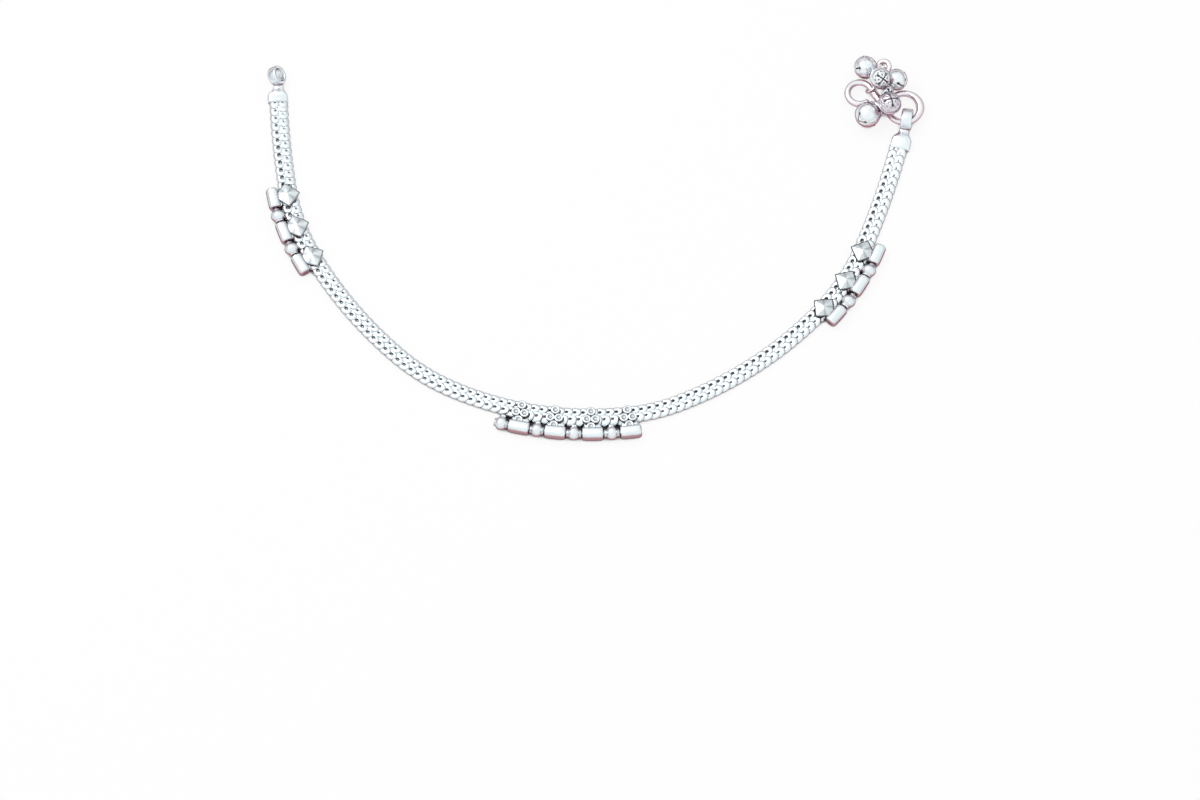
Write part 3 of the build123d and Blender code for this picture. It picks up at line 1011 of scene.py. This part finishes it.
@dataclass
class OrnateTube:
    """A short tube beside the chain, with the star or rosette that it carries."""

    name: str
    ornament: Ornament
    tube_station: float
    ornament_station: float
    radius: float = 1.5
    half_length: float = 2.65
    # height of the ornament's foot over the floor
    foot: float = 1.66
    star_outward: float = 0.45
    half_diagonal: float = 3.25
    star_power: float = 1.85
    # painted shade on a star's edge and on its faces, on the left and on the right half of the anklet,
    # heavier on the right
    left_shade: tuple[float, float] = (0.7, 0.07)
    right_shade: tuple[float, float] = (1.0, 0.2)
    valley_shade: float = 0.55
    rosette_outward: float = 1.3
    # middles of the bosses, along the chain and outward from the rosette's middle
    bosses: tuple[tuple[float, float], ...] = ((1.05, 0.0), (-1.05, 0.0), (0.0, 2.05), (0.0, -2.05))
    leaf_height: float = 1.35
    leaf_half_length: float = 2.15
    leaf_half_height: float = 0.28

    def tube(self) -> tuple[Array, Array]:
        """Turn the tube's profile: rounded ends and a fine ring line near each.

        Returns:
            The grid, and an oxide mask that follows the ring lines.
        """
        seat, half, r = SEATS[self.ornament], self.half_length, self.radius
        middle, along, _ = LINE.spot(self.tube_station, seat.tube_outward, r)
        # each row: distance from the tube's middle, radius, oxide
        side = np.array(
            [
                (half, 0.45, 0.4),
                (half, r - 0.5, 0.1),
                (half - 0.1, r - 0.28, 0.0),
                (half - 0.3, r - 0.08, 0.0),
                (half - 0.55, r, 0.0),
                (half - 0.72, r - 0.03, 0.1),
                (half - 0.85, r, 0.0),
                (half - 1.2, r, 0.0),
            ]
        )
        profile = np.concatenate([side * (-1.0, 1.0, 1.0), side[::-1]])
        return turned_table(middle, along, UP, profile, 32, seat.tube_power)

    def star(self) -> tuple[Array, Array]:
        """Raise a four-pointed pyramid with hollow sides over a thin plate.

        The outline is a superellipse with a power above 1 on sine and cosine, so its sides
        curve inward.

        Returns:
            The grid from the plate's foot to the peak, and its mask of painted shade.
        """
        middle, along, out = LINE.spot(self.ornament_station, self.star_outward, self.foot)
        # painted shade: stars on the right half are darker at the edge and on their faces
        edge, face = self.right_shade if self.tube_station > LINE.total / 2.0 else self.left_shade
        angle = np.linspace(0.0, 2.0 * np.pi, 32, endpoint=False)
        x = signed_power(np.cos(angle), self.star_power) * self.half_diagonal
        y = signed_power(np.sin(angle), self.star_power) * self.half_diagonal
        # each row: share of the outline, height, painted shade
        rows = np.array(
            [
                (0.97, 0.0, edge),
                (1.0, 0.14, edge),
                (0.97, 0.24, 0.95 * edge),
                (0.89, 0.31, 0.8 * edge),
                (0.83, 0.35, face),
                (0.5, 0.62, face),
                (0.04, 0.9, 0.0),
            ]
        )
        share, rise, oxide_and_shade = rows.T[..., None]
        outline = along * x[:, None] + out * y[:, None]
        grid = middle + share[..., None] * outline + UP * rise[..., None]
        # painted shade along the four valleys stands in for the shading between facets
        valley = self.valley_shade * np.abs(np.sin(2.0 * angle)) ** 14 * (share < 0.9)
        return grid, np.maximum(oxide_and_shade, valley)

    def boss(self, shift_along: float, shift_out: float) -> tuple[Array, Array]:
        """Turn one round boss with a ringed dimple.

        Args:
            shift_along: its middle's distance along the chain from the rosette's middle.
            shift_out: its middle's distance outward from the rosette's middle.

        Returns:
            The grid and its oxide mask.
        """
        middle, along, out = LINE.spot(self.ornament_station, self.rosette_outward, self.foot)
        # each row: height, radius, oxide
        rows = np.array(
            [
                (0.0, 1.12, 0.9),
                (0.5, 1.16, 0.45),
                (0.70, 1.02, 0.0),
                (0.75, 0.84, 0.0),
                (0.70, 0.62, 0.1),
                (0.52, 0.50, 0.7),
                (0.48, 0.30, 0.45),
                (0.50, 0.04, 0.35),
            ]
        )
        return turned_table(middle + along * shift_along + out * shift_out, UP, along, rows, 20)

    def leaf(self) -> Array:
        """Bridge the gap between chain and tube with a rounded solder leaf.

        Returns:
            The leaf's grid.
        """
        seat = SEATS[self.ornament]
        spot = LINE.spot(self.tube_station, seat.leaf_outward, self.leaf_height)
        half_sizes = (self.leaf_half_length, seat.leaf_half_width, self.leaf_half_height)
        return solder_leaf(*spot, half_sizes, 9)

    def build(self) -> bpy.types.Object:
        """Join tube, leaf and ornament.

        Returns:
            The tube with its ornament as one piece, replacing its solid.
        """
        surface = Surface()
        surface.add_grid(*self.tube(), cap_ends=True)
        surface.add_grid(self.leaf(), cap_ends=True)
        if self.ornament is Ornament.STAR:
            surface.add_grid(*self.star(), cap_ends=True)
        else:
            for spot in self.bosses:
                surface.add_grid(*self.boss(*spot), cap_ends=True)
        return WARDROBE.dress(surface, f"{self.name}_dressed", Polish.BRIGHT, "silver_fittings", self.name)


# ---- beads and plates of painted shade ---------------------------------------------------
@dataclass
class Bead:
    """A round bead with a short collar on each side."""

    name: str
    station: float
    outward: float
    free_length: float
    radius: float = 1.55
    collar: float = 0.9
    flatten: float = 0.14
    # a bead further out than this doesn't reach the chain and gets a solder seat
    far_outward: float = 4.5
    seat_inward: float = 1.85
    seat_drop: float = 0.35
    seat_half_sizes: Triple = (0.7, 0.85, 0.3)

    def ball(self) -> tuple[Array, Array]:
        """Turn the bead's profile: collar, ball, collar; the ball is a little wider outward.

        Returns:
            The grid and its oxide mask.
        """
        middle, along, out = LINE.spot(self.station, self.outward, self.radius)
        half, joint_oxide = self.free_length / 2.0, 0.25
        turn = np.linspace(-1.0, 1.0, 13) * np.arccos(self.collar / self.radius)
        ball = np.stack([self.radius * np.sin(turn), self.radius * np.cos(turn), 0.0 * turn], axis=-1)
        ball[[0, -1], 2] = joint_oxide
        # each row: distance from the bead's middle, radius, oxide
        near = np.array([(half, 0.3, 0.4), (half, self.collar - 0.1, 0.2), (half - 0.1, self.collar, 0.05)])
        profile = np.concatenate([near * (-1.0, 1.0, 1.0), ball, near[::-1]])
        grid, oxide_and_shade = turned_table(middle, along, UP, profile, 28)
        return grid + out * (np.dot(grid - middle, out) * self.flatten)[..., None], oxide_and_shade

    def build(self) -> bpy.types.Object:
        """Join the ball and, where the bead lies far from the chain, a solder seat.

        Returns:
            The bead as one piece, replacing its solid.
        """
        surface = Surface()
        surface.add_grid(*self.ball(), cap_ends=True)
        if self.outward > self.far_outward:
            height = self.radius - self.seat_drop
            spot = LINE.spot(self.station, self.outward - self.seat_inward, height)
            surface.add_grid(solder_leaf(*spot, self.seat_half_sizes, 7), cap_ends=True)
        return WARDROBE.dress(surface, f"{self.name}_ball", Polish.BRIGHT, "silver_fittings", self.name)


@dataclass
class ShadePlates:
    """Thin dark plates beside a row of beads, seen only between bead and chain, where they stand for painted
    shade.
    """

    name: str
    stations: tuple[float, ...]
    inner: float
    outer: float
    half_length: float = 2.1
    height: float = 0.25
    half_height: float = 0.2

    def build(self) -> bpy.types.Object:
        """Carry a flat section past each bead, between two distances from the chain's line.

        Returns:
            The plates as one extra piece.
        """
        middle, half_width = (self.inner + self.outer) / 2.0, (self.outer - self.inner) / 2.0
        band = Band(middle, self.height, half_width, self.half_height, 0.6)
        surface = Surface()
        for station in self.stations:
            grid = band.grid(station + np.linspace(-self.half_length, self.half_length, 9))
            # each plate is dark all over, as painted shade
            surface.add_grid(grid, np.ones(grid.shape[:2]), cap_ends=True)
        return WARDROBE.dress(surface, self.name, Polish.BRIGHT, "silver_fittings")


# ---- bells and rings ---------------------------------------------------------------------
@dataclass
class JumpRing:
    """A closed round wire ring."""

    name: str
    middle: Triple
    axis: Triple
    radius: float
    wire: float

    def build(self) -> bpy.types.Object:
        """Turn the ring.

        Returns:
            The ring as one piece, replacing its solid.
        """
        ring = ring_grid(np.array(self.middle), np.array(self.axis), self.radius, self.wire)
        surface = Surface()
        surface.add_grid(ring, close_rows=True)
        return WARDROBE.dress(surface, f"{self.name}_wire", Polish.WIRE, "silver_wire", self.name)


@dataclass
class Bell:
    """A ghungroo bell: a crossed slit with drilled ends, a seam bead, a petalled cap and a loop."""

    name: str
    middle: Triple
    slit_way: Triple
    loop_axis: Triple
    radius: float
    loop_radius: float = 0.95
    loop_wire: float = 0.28
    loop_inset: float = 0.15
    seam_wire: float = 0.17
    seam_inset: float = 0.03
    neck: float = 0.0
    flute: float = 0.0
    polish: Polish = Polish.BELL
    petals: int = 7
    slit_angle: float = 38.0
    punched: float = 0.0
    depth: float = 0.3
    # distances where slit, drilled end and dot begin and where they are full
    slit_edge: tuple[float, float] = (0.2, 0.08)
    hole_edge: tuple[float, float] = (0.42, 0.26)
    dot_edge: tuple[float, float] = (0.34, 0.16)
    # the shallow dip on both sides of a slit
    lip_depth: float = 0.1
    lip_width: float = 0.45
    # each row: a ring's angle from the slit's crossing, and its count of punched dots
    dot_rings: tuple[tuple[float, int], ...] = ((27.0, 4), (50.0, 12))
    cap_edge: float = 58.0
    cap_notch: float = 16.0
    # each row: share of the cap's edge angle, height over the ball; outside first, then inside
    cap_section: tuple[tuple[float, float], ...] = (
        (0.05, 0.12),
        (0.25, 0.16),
        (0.5, 0.17),
        (0.75, 0.15),
        (0.95, 0.12),
        (1.0, 0.06),
        (0.97, -0.05),
        (0.6, -0.05),
        (0.05, -0.05),
    )

    def axes(self) -> Axes:
        """Find the bell's own directions.

        Returns:
            The bell's middle, the way to its loop and a direction square to it.
        """
        down = unit(np.array(self.slit_way))
        square = np.array(self.loop_axis) - down * np.dot(self.loop_axis, down)
        return np.array(self.middle), -down, unit(square)

    def wrap(self, radius: Array, polar: Array, turn: Array) -> Array:
        """Place points round the bell's middle.

        Args:
            radius: distance from the middle.
            polar: angle from the way to the loop, in radians.
            turn: turning angle about that way, in radians.

        Returns:
            The grid of points.
        """
        middle, axis, start = self.axes()
        spoke = start * np.cos(turn)[..., None] + np.cross(axis, start) * np.sin(turn)[..., None]
        rise, reach = (radius * np.cos(polar))[..., None], (radius * np.sin(polar))[..., None]
        return middle + rise * axis + reach * spoke

    def body(self) -> tuple[Array, Array]:
        """Shape the ball from the crossed slit to the loop's side.

        The radius sinks where either slit plane is near, inside the slit angle, at the four
        drilled ends and at two rings of punched dots; a fluted bell's radius also swings with
        the turning angle. Rows lie closer on the side of the slit.

        Returns:
            The grid and its mask: the slit and the drilled ends are dark as painted shade, standing in for
                openings into the bell, and the dots are darkened as well.
        """
        close, wide = np.linspace(0.6, 58.0, 32), np.linspace(62.0, 179.0, 20)
        polar = np.radians(np.concatenate([close, wide]))[:, None]
        turn = np.linspace(0.0, 2.0 * np.pi, 72, endpoint=False)[None, :]
        x = np.abs(self.radius * np.sin(polar) * np.cos(turn))
        y = np.abs(self.radius * np.sin(polar) * np.sin(turn))
        near = np.minimum(x, y)
        inside = smooth_step(self.slit_angle + 4.0, self.slit_angle, np.degrees(polar))
        slit = smooth_step(*self.slit_edge, near) * inside
        reach = self.radius * np.sin(np.radians(self.slit_angle))
        ends = np.hypot(np.maximum(x, y) - reach, near)
        hole = smooth_step(*self.hole_edge, ends) * (polar < np.pi / 2.0)
        # painted shade in the slit and the drilled ends, standing in for openings into the bell
        mask = np.maximum(slit, hole)
        for ring_angle, count in self.dot_rings:
            half_step = np.pi / count
            swing = (turn % (2.0 * half_step) - half_step) * np.sin(np.radians(ring_angle))
            apart = self.radius * np.hypot(polar - np.radians(ring_angle), swing)
            mask = np.maximum(mask, self.punched * smooth_step(*self.dot_edge, apart))
        flute = self.flute * np.cos(12.0 * turn) * np.sin(polar) ** 4
        lip = self.lip_depth * np.exp(-((near / self.lip_width) ** 2)) * inside
        radius = self.radius - self.depth * mask - lip + flute
        return self.wrap(radius, np.pi - polar, turn)[:, ::-1], mask[:, ::-1]

    def cap(self) -> tuple[Array, Array]:
        """Spread a petalled dome over the loop's side of the bell.

        The dome follows the bell at a small distance; its edge angle swings with the cosine of
        petals times the turning angle, and lines between petals sink and darken.

        Returns:
            The closed shell, outside then inside, and its oxide mask.
        """
        turn = np.linspace(0.0, 2.0 * np.pi, self.petals * 6, endpoint=False)[None, :]
        valley = (0.5 - 0.5 * np.cos(turn * self.petals)) ** 6
        share, lift = np.array(self.cap_section).T[..., None]
        polar = np.radians(self.cap_edge - self.cap_notch * valley) * share
        radius = self.radius + lift - 0.1 * valley * (lift > 0.0)
        oxide_and_shade = 0.4 * valley * smooth_step(0.3, 0.7, share) + 0.3 * (lift < 0.1)
        return self.wrap(radius, polar, turn), oxide_and_shade

    def collar(self) -> Array:
        """Turn the flared collar that joins ball and loop, stouter on a bell with a neck.

        Returns:
            The collar's grid.
        """
        foot, top = self.radius - 0.35, self.radius + self.neck + 0.25
        wide, slim = (2.3, 1.15) if self.neck else (0.95, 0.5)
        rise = np.linspace(0.0, 1.0, 8)
        profile = np.stack([foot + (top - foot) * rise, slim + (wide - slim) * (1.0 - rise) ** 1.3], axis=-1)
        return turned_grid(*self.axes(), profile, 20)

    def build(self) -> bpy.types.Object:
        """Join ball, seam, cap, collar and loop.

        Returns:
            The bell as one piece, replacing its solid where it has one.
        """
        middle, axis, start = self.axes()
        reach = self.radius + self.neck + self.loop_radius + self.loop_wire - self.loop_inset
        seam = ring_grid(middle, axis, self.radius - self.seam_inset, self.seam_wire, 48, 8)
        loop = ring_grid(middle + axis * reach, start, self.loop_radius, self.loop_wire, 28, 10)
        surface = Surface()
        surface.add_grid(*self.body(), cap_ends=True)
        surface.add_grid(seam, close_rows=True)
        surface.add_grid(*self.cap(), cap_ends=True)
        surface.add_grid(self.collar(), cap_ends=True)
        surface.add_grid(loop, close_rows=True)
        nodes = (self.name,) if self.name.startswith("bell_") else ()
        return WARDROBE.dress(surface, f"{self.name}_petalled", self.polish, "silver_bells", *nodes)


# ---- studio ------------------------------------------------------------------------------
@dataclass
class Studio:
    """Pale floor, plain soft light and the camera, with lengths in metres."""

    target: Triple = (0.001301, -0.040655, 0.0)
    elevation: float = 63.0
    distance: float = 8.0
    field_width: float = 0.294
    sensor_width: float = 36.0
    clip_end: float = 40.0
    floor_reach: float = 1.6
    floor_drop: float = 2e-5
    floor_grey: float = 0.8
    floor_glow: float = 0.88
    floor_shelter: float = 0.002
    # how open the floor is where its painted shade is black, and where it is white
    floor_shade: tuple[float, float] = (0.22, 0.5)
    sky_lean: float = -0.2
    # heights in the sky and their colours
    sky: tuple[tuple[float, Triple], ...] = (
        (0.0, (0.32, 0.26, 0.27)),
        (0.17, (0.68, 0.66, 0.68)),
        (0.48, (1.0, 1.0, 1.0)),
    )
    lamp_place: Triple = (-0.35, 0.25, 0.75)
    lamp_size: float = 0.5
    lamp_power: float = 2.4

    def floor(self) -> None:
        """Lay a white floor whose glow is darkened as painted shade, from ambient occlusion, only in narrow
        shelter under and between pieces.

        It glows for the camera and in reflections, and is plain diffuse for all other light.
        """
        mesh = bpy.data.meshes.new("floor")
        signs = ((-1, -1), (1, -1), (1, 1), (-1, 1))
        edge = [(x * self.floor_reach, y * self.floor_reach, -self.floor_drop) for x, y in signs]
        mesh.from_pydata(edge, [], [(0, 1, 2, 3)])
        floor = bpy.data.objects.new("floor", mesh)
        bpy.context.scene.collection.objects.link(floor)
        paint = bpy.data.materials.new("floor_white")
        paint.use_nodes = True
        tree = paint.node_tree
        tree.nodes.clear()
        path = add_node(tree, "ShaderNodeLightPath").outputs
        seen = join(tree, "MAXIMUM", path["Is Camera Ray"], path["Is Glossy Ray"])
        seen = join(tree, "MAXIMUM", seen, path["Is Transmission Ray"])
        share = join(tree, "MULTIPLY", seen, self.floor_glow)
        shelter = add_node(tree, "ShaderNodeAmbientOcclusion", {"Distance": self.floor_shelter}, samples=12)
        # painted shade: ambient occlusion dims the floor's glow under and between pieces
        light = smooth_range(tree, shelter.outputs["AO"], *self.floor_shade)
        glow = add_node(tree, "ShaderNodeEmission", {"Strength": light}).outputs["Emission"]
        grey = (self.floor_grey, self.floor_grey, self.floor_grey, 1.0)
        plain = add_node(tree, "ShaderNodeBsdfDiffuse", {"Color": grey}).outputs["BSDF"]
        both = add_node(tree, "ShaderNodeMixShader", {"Fac": share, 1: plain, 2: glow})
        add_node(tree, "ShaderNodeOutputMaterial", {"Surface": both.outputs["Shader"]})
        mesh.materials.append(paint)

    def world(self) -> None:
        """Light evenly from a white sky that greys to a warm band near the horizon."""
        world = bpy.data.worlds.new("soft_tent")
        bpy.context.scene.world = world
        world.use_nodes = True
        tree = world.node_tree
        tree.nodes.clear()
        way = add_node(tree, "ShaderNodeTexCoord").outputs["Generated"]
        split = add_node(tree, "ShaderNodeSeparateXYZ", {"Vector": way}).outputs
        tilt = {0: split["Y"], 1: self.sky_lean, 2: split["Z"]}
        height = add_node(tree, "ShaderNodeMath", tilt, operation="MULTIPLY_ADD").outputs["Value"]
        ramp = add_node(tree, "ShaderNodeValToRGB", {"Fac": height})
        stops = ramp.color_ramp.elements
        stops.remove(stops[1])
        for place, colour in self.sky:
            stop = stops.new(place) if place else stops[0]
            stop.color = (*colour, 1.0)
        sky = add_node(tree, "ShaderNodeBackground", {"Color": ramp.outputs["Color"]})
        add_node(tree, "ShaderNodeOutputWorld", {"Surface": sky.outputs["Background"]})

    def lamp(self) -> None:
        """Hang one square soft lamp that faces the anklet."""
        light = bpy.data.lights.new("key_lamp", "AREA")
        light.shape = "SQUARE"
        light.size = self.lamp_size
        light.energy = self.lamp_power
        lamp = bpy.data.objects.new("key_lamp", light)
        lamp.location = self.lamp_place
        lamp.rotation_euler = (-Vector(self.lamp_place)).to_track_quat("-Z", "Y").to_euler()
        bpy.context.scene.collection.objects.link(lamp)

    def camera(self) -> None:
        """Stand the camera at its angle, far off, with a long lens."""
        rise = float(np.radians(self.elevation))
        camera = bpy.data.cameras.new("camera")
        camera.sensor_width = self.sensor_width
        camera.lens = self.sensor_width * self.distance / self.field_width
        camera.clip_end = self.clip_end
        stand = bpy.data.objects.new("camera", camera)
        away = Vector((0.0, -float(np.cos(rise)), float(np.sin(rise))))
        stand.location = Vector(self.target) + away * self.distance
        stand.rotation_euler = (np.pi / 2.0 - rise, 0.0, 0.0)
        bpy.context.scene.collection.objects.link(stand)
        bpy.context.scene.camera = stand

    def build(self) -> None:
        """Set up floor, sky, lamp, camera and the plain view."""
        self.floor()
        self.world()
        self.lamp()
        self.camera()
        bpy.context.scene.view_settings.view_transform = "Standard"


# ---- the whole anklet --------------------------------------------------------------------
class Maker(Protocol):
    """Anything that builds one piece."""

    def build(self) -> bpy.types.Object:
        """Build the piece and return it."""


# each row: name, the tube's place along the chain's line, the ornament's place
STARS = (
    ("left_star_tube_1", 26.8, 26.45),
    ("left_star_tube_2", 35.85, 35.4),
    ("left_star_tube_3", 45.0, 44.4),
    ("right_star_tube_1", 196.75, 196.35),
    ("right_star_tube_2", 206.2, 205.6),
    ("right_star_tube_3", 215.1, 214.6),
)
ROSETTES = (
    ("rosette_tube_1", 113.35, 112.9),
    ("rosette_tube_2", 121.8, 121.3),
    ("rosette_tube_3", 130.5, 130.1),
    ("rosette_tube_4", 139.3, 139.1),
)
MAKERS: tuple[Maker, ...] = (
    WovenChain(),
    EndCap(
        "left_cap_and_eye",
        "left_end_cap",
        station=0.0,
        sign=-1.0,
        outward=0.2,
        body_length=2.75,
        eye_distance=6.17,
        eye_tilt=40.0,
        neck_shift=0.35,
    ),
    EndCap(
        "right_cap_and_eye",
        "right_end_cap",
        station=LINE.total,
        sign=1.0,
        outward=0.3,
        body_length=3.6,
        eye_distance=7.12,
        eye_turn=6.8,
        eye_half_band=1.35,
        eye_stretch=0.3,
    ),
    SHook(),
    *(OrnateTube(name, Ornament.STAR, *places) for name, *places in STARS),
    *(OrnateTube(name, Ornament.ROSETTE, *places) for name, *places in ROSETTES),
    # beads: place along the chain's line, distance outward, length with its collars
    Bead("left_bead_1", 31.33, 3.95, 3.5),
    Bead("left_bead_2", 40.4, 3.95, 3.6),
    Bead("centre_bead_1", 109.2, 5.1, 3.4),
    Bead("centre_bead_2", 117.57, 5.1, 3.5),
    Bead("centre_bead_3", 126.15, 5.1, 3.7),
    Bead("centre_bead_4", 134.9, 5.1, 3.8),
    Bead("right_bead_1", 201.45, 3.95, 3.9),
    Bead("right_bead_2", 210.65, 3.95, 3.5),
    # plates of painted shade: places of the plates, their inner and outer distance from the chain's line
    ShadePlates("left_shade_plates", (31.33, 40.4), 2.0, 3.4),
    ShadePlates("centre_shade_plates", (111.1, 117.57, 126.15, 134.9), 2.0, 4.4),
    ShadePlates("right_shade_plates", (201.45, 210.65), 2.0, 3.5),
    # rings: middle, axis, radius to the wire's middle, wire's radius
    JumpRing("jump_ring_1", (71.101, 49.69, 3.17), (-0.357, -0.277, 0.892), 1.5, 0.62),
    JumpRing("jump_ring_2", (68.381, 44.67, 1.9), (-0.607, 0.610, 0.509), 1.75, 0.37),
    JumpRing("jump_ring_3", (70.091, 47.15, 2.32), (0.777, -0.411, 0.476), 2.2, 0.38),
    # bells: middle, the way to the slits' crossing, the loop's axis
    Bell(
        "bell_1",
        (67.1, 36.4, 3.35),
        (-0.75, -0.64, 0.16),
        (0.55, -0.75, 0.4),
        radius=3.15,
        loop_radius=1.2,
        loop_wire=0.4,
        neck=1.1,
    ),
    Bell(
        "bell_2",
        (66.6, 49.7, 3.05),
        (-0.93, -0.25, 0.2),
        (0.211, -0.853, -0.478),
        radius=2.8,
        flute=0.05,
    ),
    Bell("bell_3", (74.331, 45.85, 3.75), (0.600, -0.783, 0.167), (0.600, 0.578, 0.554), radius=2.65),
    Bell(
        "bell_4",
        (72.5, 38.2, 5.9),
        (0.176, -0.002, 0.984),
        (-0.288, 0.956, 0.053),
        radius=2.85,
        loop_radius=1.3,
        loop_wire=0.34,
        # this bell takes the bell finish darkened as painted shade
        polish=Polish.SHADED,
        punched=0.5,
    ),
    Bell(
        "bell_5",
        (70.181, 44.65, 6.89),
        (0.336, -0.510, 0.792),
        (-0.563, -0.783, -0.265),
        radius=2.6,
        punched=0.75,
    ),
    Bell(
        "seed_bell",
        (72.0, 42.3, 4.2),
        (0.3, -0.5, 0.8),
        (0.9, 0.3, -0.15),
        radius=1.6,
        loop_radius=0.6,
        loop_wire=0.25,
        slit_angle=30.0,
    ),
)


def main() -> None:
    """Load the frame, build each piece, dress the solids and set up the studio."""
    logging.basicConfig(level=logging.INFO, format="%(name)s: %(message)s")
    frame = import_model()
    for maker in MAKERS:
        LOG.info("built %s", maker.build().name)
    WARDROBE.dress_solids(frame["nodes"])
    Studio().build()


if __name__ == "__main__":
    main()
